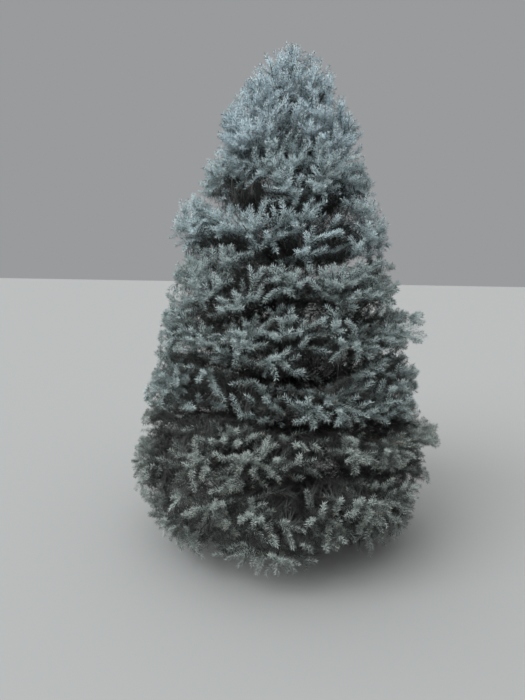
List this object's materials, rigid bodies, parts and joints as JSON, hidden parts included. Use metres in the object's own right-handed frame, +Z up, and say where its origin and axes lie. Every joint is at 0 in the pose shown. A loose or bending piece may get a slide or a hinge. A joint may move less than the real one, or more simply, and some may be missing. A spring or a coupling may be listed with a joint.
{
  "type": "blue spruce tree",
  "caption": "Young garden blue spruce, rooted in level ground: a straight trunk with whorls of boughs and dense silvery needle sprays down to the ground, in a full narrow cone.",
  "frame": {"origin": "middle of the flat cut under the trunk, at ground level", "axes": "+Z up along the trunk, +X to the right and -Y towards the camera of the picture's view"},
  "size_m": [1.7001, 1.6755, 2.6131],
  "materials": {
    "bark": "rough grey-brown bark, matte",
    "needles": "matte, waxy silver-blue to blue-green needles"
  },
  "bodies": {
    "root": {"trunk": "bark", "bough_1_1": "bark", "bough_1_2": "bark", "bough_1_3": "bark", "bough_1_4": "bark", "bough_1_5": "bark", "bough_1_6": "bark", "bough_2_1": "bark", "bough_2_2": "bark", "bough_2_3": "bark", "bough_2_4": "bark", "bough_2_5": "bark", "bough_2_6": "bark", "mass_1_1": "needles", "mass_1_2": "needles", "mass_1_3": "needles", "mass_1_4": "needles", "mass_1_5": "needles", "mass_1_6": "needles", "mass_2_1": "needles", "mass_2_2": "needles", "mass_2_3": "needles", "mass_2_4": "needles", "mass_2_5": "needles", "mass_2_6": "needles", "mass_3_1": "needles", "mass_3_2": "needles", "mass_3_3": "needles", "mass_3_4": "needles", "mass_3_5": "needles", "mass_4_1": "needles", "mass_4_2": "needles", "mass_4_3": "needles", "mass_4_4": "needles", "mass_4_5": "needles", "mass_5_1": "needles", "mass_5_2": "needles", "mass_5_3": "needles", "mass_5_4": "needles", "mass_5_5": "needles", "mass_6_1": "needles", "mass_6_2": "needles", "mass_6_3": "needles", "mass_6_4": "needles", "mass_7_1": "needles", "mass_7_2": "needles", "mass_7_3": "needles", "mass_7_4": "needles", "mass_8_1": "needles", "mass_8_2": "needles", "mass_8_3": "needles", "mass_9_1": "needles", "mass_9_2": "needles", "mass_9_3": "needles", "mass_10_1": "needles", "mass_10_2": "needles", "mass_10_3": "needles", "leader": "needles"}
  },
  "joints": []
}
